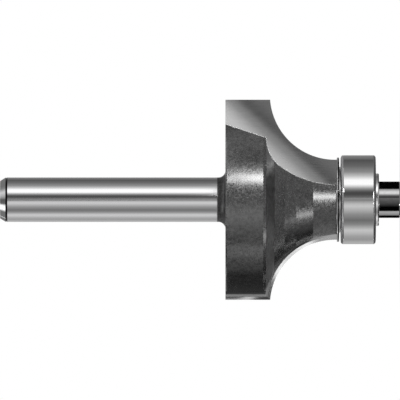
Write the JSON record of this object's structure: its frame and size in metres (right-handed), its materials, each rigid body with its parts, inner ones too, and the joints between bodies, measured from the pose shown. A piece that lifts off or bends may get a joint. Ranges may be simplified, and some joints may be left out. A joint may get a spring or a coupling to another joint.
{
  "type": "router bit",
  "caption": "Piloted cove router bit: straight shank, round steel body with brazed carbide tips, and a guide bearing held by a socket head screw.",
  "frame": {"origin": "centre of the guide screw's head, on its end face, which the bit stands on", "axes": "+Z along the bit's axis towards the shank's end; the first carbide tip reaches along +X and its cutting face looks along -Y"},
  "size_m": [0.0286, 0.0268, 0.0571],
  "materials": {
    "tool_steel": "ground bright shank, dark blasted finish on the body and neck",
    "carbide": "fine ground tungsten carbide",
    "bearing_steel": "polished",
    "shield_steel": "pressed sheet",
    "cage_steel": "pressed sheet",
    "ball_steel": "mirror polished",
    "bright_washer_steel": "bright turned",
    "black_screw": "glossy black oxide"
  },
  "bodies": {
    "cutter": {"cutter_body": "tool_steel", "carbide_tip_1": "carbide", "carbide_tip_2": "carbide", "dust_shield": "bright_washer_steel", "bearing_inner_ring": "bearing_steel", "screw_washer": "bright_washer_steel", "bearing_screw": "black_screw"},
    "outer_ring": {"bearing_outer_ring": "bearing_steel", "bearing_shield_front": "shield_steel", "bearing_shield_rear": "shield_steel", "shield_snap_ring_front": "shield_steel", "shield_snap_ring_rear": "shield_steel"},
    "cage": {"ball_cage_front": "cage_steel", "ball_cage_rear": "cage_steel", "cage_rivets": "cage_steel"},
    "ball_1": {"ball_1": "ball_steel"},
    "ball_2": {"ball_2": "ball_steel"},
    "ball_3": {"ball_3": "ball_steel"},
    "ball_4": {"ball_4": "ball_steel"},
    "ball_5": {"ball_5": "ball_steel"},
    "ball_6": {"ball_6": "ball_steel"},
    "ball_7": {"ball_7": "ball_steel"}
  },
  "joints": [
    {"name": "outer_ring_spin", "type": "hinge", "parent": "cutter", "child": "outer_ring", "pos_m": [0, 0, 0.00612], "axis": [0, 0, 1], "continuous": true},
    {"name": "cage_orbit", "type": "hinge", "parent": "cutter", "child": "cage", "pos_m": [0, 0, 0.00612], "axis": [0, 0, 1], "continuous": true},
    {"name": "ball_1_spin", "type": "hinge", "parent": "cage", "child": "ball_1", "pos_m": [0.00437, 0, 0.00612], "axis": [0, 0, 1], "continuous": true},
    {"name": "ball_2_spin", "type": "hinge", "parent": "cage", "child": "ball_2", "pos_m": [0.00272, 0.00341, 0.00612], "axis": [0, 0, 1], "continuous": true},
    {"name": "ball_3_spin", "type": "hinge", "parent": "cage", "child": "ball_3", "pos_m": [-0.00097, 0.00426, 0.00612], "axis": [0, 0, 1], "continuous": true},
    {"name": "ball_4_spin", "type": "hinge", "parent": "cage", "child": "ball_4", "pos_m": [-0.00393, 0.00189, 0.00612], "axis": [0, 0, 1], "continuous": true},
    {"name": "ball_5_spin", "type": "hinge", "parent": "cage", "child": "ball_5", "pos_m": [-0.00393, -0.00189, 0.00612], "axis": [0, 0, 1], "continuous": true},
    {"name": "ball_6_spin", "type": "hinge", "parent": "cage", "child": "ball_6", "pos_m": [-0.00097, -0.00426, 0.00612], "axis": [0, 0, 1], "continuous": true},
    {"name": "ball_7_spin", "type": "hinge", "parent": "cage", "child": "ball_7", "pos_m": [0.00272, -0.00341, 0.00612], "axis": [0, 0, 1], "continuous": true}
  ],
  "couplings": [
    {"joint": "cage_orbit", "follows": "outer_ring_spin", "ratio": 0.63635},
    {"joint": "ball_1_spin", "follows": "outer_ring_spin", "ratio": 1.6972},
    {"joint": "ball_2_spin", "follows": "outer_ring_spin", "ratio": 1.6972},
    {"joint": "ball_3_spin", "follows": "outer_ring_spin", "ratio": 1.6972},
    {"joint": "ball_4_spin", "follows": "outer_ring_spin", "ratio": 1.6972},
    {"joint": "ball_5_spin", "follows": "outer_ring_spin", "ratio": 1.6972},
    {"joint": "ball_6_spin", "follows": "outer_ring_spin", "ratio": 1.6972},
    {"joint": "ball_7_spin", "follows": "outer_ring_spin", "ratio": 1.6972}
  ]
}
